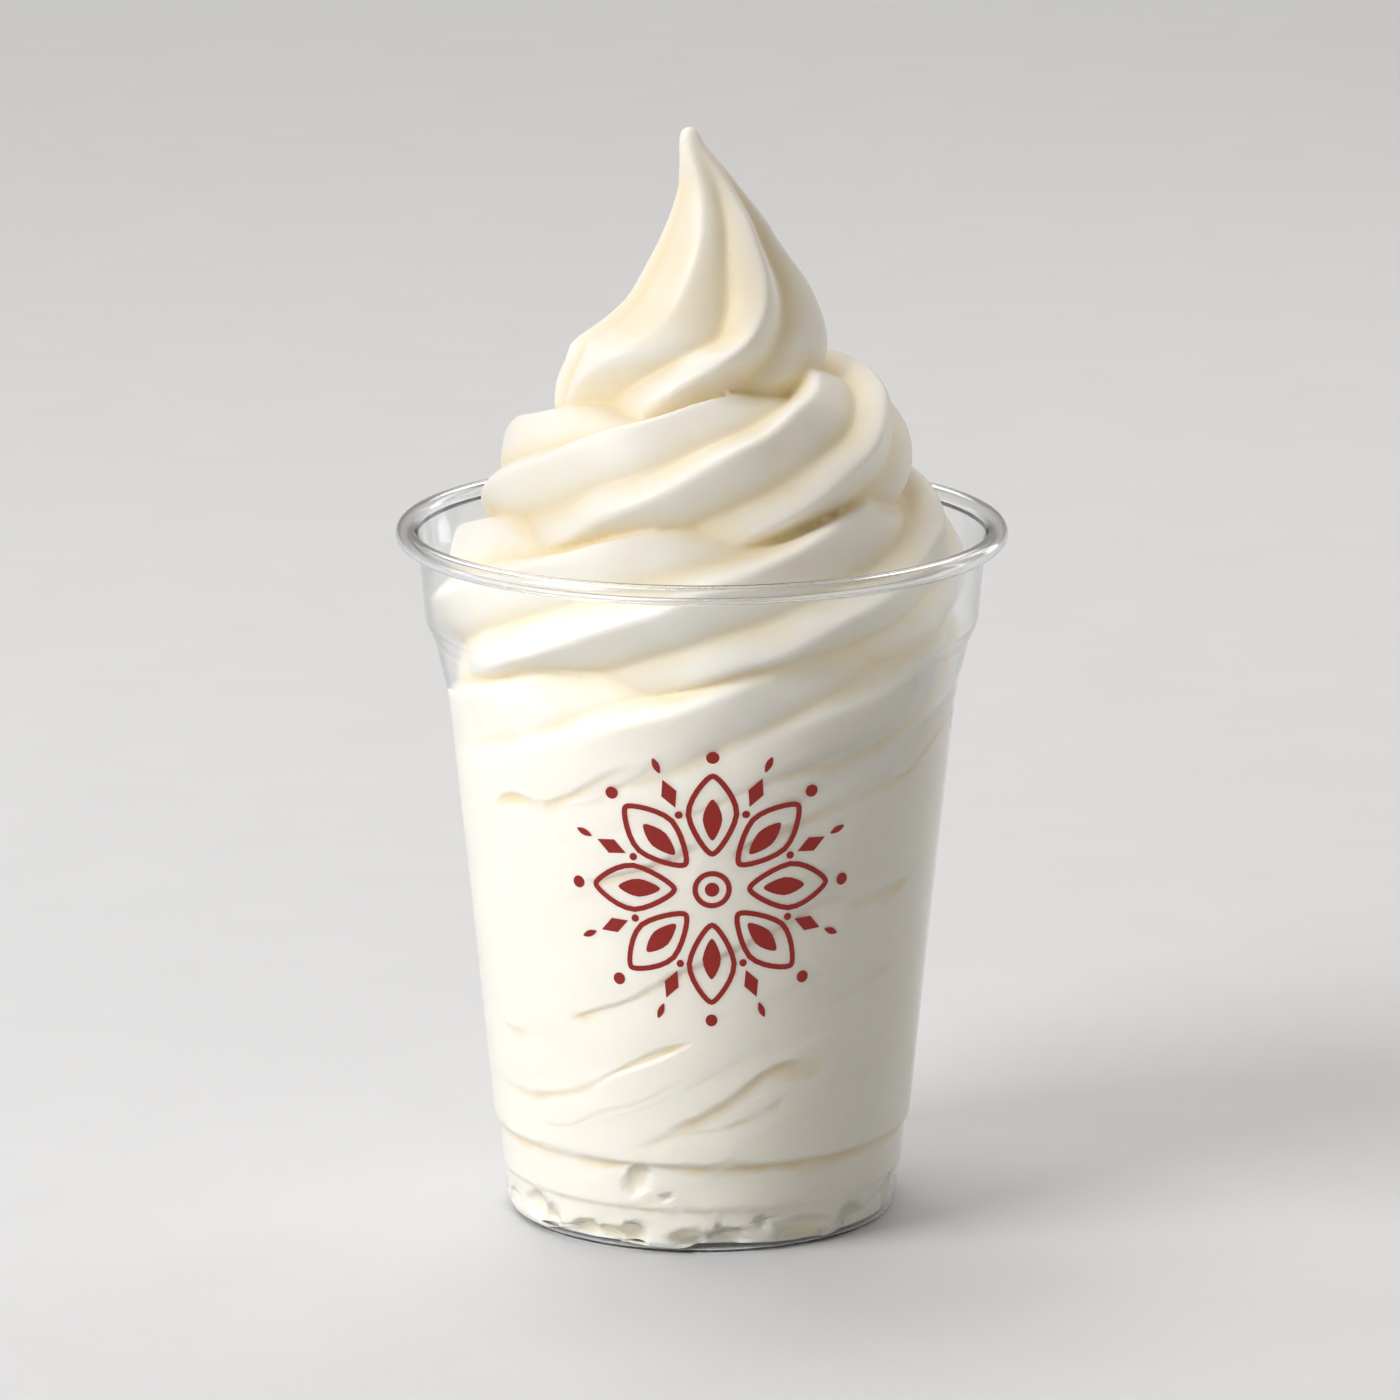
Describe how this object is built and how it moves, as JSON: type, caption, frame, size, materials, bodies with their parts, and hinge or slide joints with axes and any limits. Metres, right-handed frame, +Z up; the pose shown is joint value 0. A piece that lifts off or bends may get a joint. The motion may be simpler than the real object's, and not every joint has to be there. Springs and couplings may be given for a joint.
{
  "type": "soft serve ice cream cup",
  "caption": "Clear plastic cup with a rolled rim, filled with soft serve ice cream piped in ridged turns that wind up to a leaning pointed tip.",
  "frame": {"origin": "middle of the ring that the cup stands on, on the surface it rests on", "axes": "+Z up along the cup's axis, -Y towards the front with the printed ornament"},
  "size_m": [0.098, 0.098, 0.1766],
  "materials": {
    "cup_plastic": "clear, smooth and glossy, with a dark red printed ornament on the front",
    "ice_cream": "creamy pale vanilla, smooth with a soft satin sheen"
  },
  "bodies": {
    "root": {"cup": "cup_plastic", "soft_serve": "ice_cream"}
  },
  "joints": []
}
